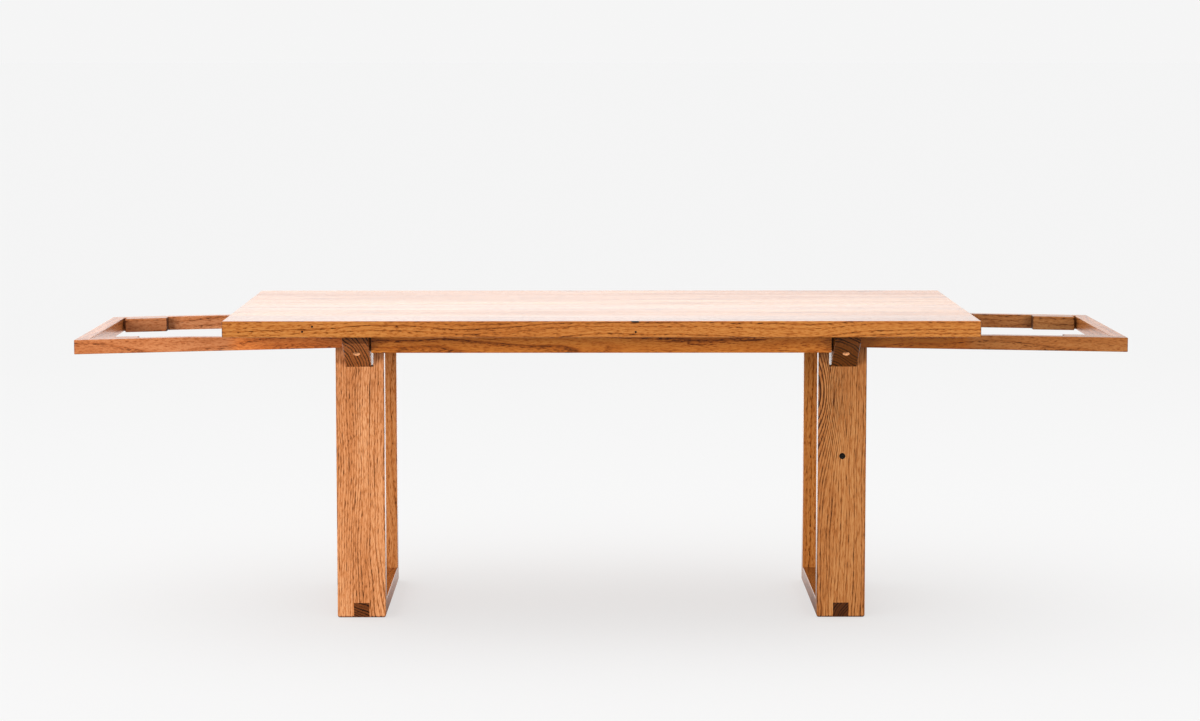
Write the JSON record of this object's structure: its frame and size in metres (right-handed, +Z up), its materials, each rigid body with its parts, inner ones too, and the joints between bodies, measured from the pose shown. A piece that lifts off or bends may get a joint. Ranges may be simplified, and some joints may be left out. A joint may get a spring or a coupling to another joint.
{
  "type": "draw leaf table",
  "caption": "Extending timber dining table: plank top on flat leg frames, with open U-shaped frames that draw out at both ends to carry leaves.",
  "frame": {"origin": "on the floor, midway between the legs and midway between the two drawn-out frames", "axes": "+X along the table to the right seen from the front, +Y from the front edge to the back, +Z up"},
  "size_m": [2.547, 0.9, 0.747],
  "materials": {
    "top_timber": "satin oil",
    "leg_timber": "satin oil",
    "frame_timber": "satin oil",
    "bearer_timber": "satin oil",
    "dowel_timber": "plain",
    "dark_filler": "hard resin filler",
    "screw_steel": "zinc plated"
  },
  "bodies": {
    "table": {"top_board_1": "top_timber", "top_board_2": "top_timber", "top_board_3": "top_timber", "top_board_4": "top_timber", "top_board_5": "top_timber", "top_board_6": "top_timber", "nail_hole_fillers": "dark_filler", "left_bearer": "bearer_timber", "left_bearer_screws": "screw_steel", "left_floor_rail": "leg_timber", "left_front_leg": "leg_timber", "left_front_runner": "frame_timber", "left_rear_leg": "leg_timber", "left_rear_runner": "frame_timber", "right_bearer": "bearer_timber", "right_bearer_screws": "screw_steel", "right_floor_rail": "leg_timber", "right_front_leg": "leg_timber", "right_front_runner": "frame_timber", "right_rear_leg": "leg_timber", "right_rear_runner": "frame_timber", "leg_hole_plug": "dark_filler", "front_apron": "leg_timber", "front_apron_screws": "screw_steel", "rear_apron": "leg_timber", "rear_apron_screws": "screw_steel"},
    "left_frame": {"left_frame_front_rail": "frame_timber", "left_frame_rear_rail": "frame_timber", "left_frame_end_rail": "frame_timber", "left_frame_stop_rail": "frame_timber", "left_frame_front_block": "frame_timber", "left_frame_rear_block": "frame_timber", "left_frame_dowels": "dowel_timber"},
    "right_frame": {"right_frame_front_rail": "frame_timber", "right_frame_rear_rail": "frame_timber", "right_frame_end_rail": "frame_timber", "right_frame_stop_rail": "frame_timber", "right_frame_front_block": "frame_timber", "right_frame_rear_block": "frame_timber", "right_frame_dowels": "dowel_timber"}
  },
  "joints": [
    {"name": "left_frame_slide", "type": "slide", "parent": "table", "child": "left_frame", "axis": [-0.9997, 0, -0.0244], "range_m": [-0.477, 0]},
    {"name": "right_frame_slide", "type": "slide", "parent": "table", "child": "right_frame", "axis": [0.9998, 0, -0.0175], "range_m": [-0.477, 0]}
  ]
}
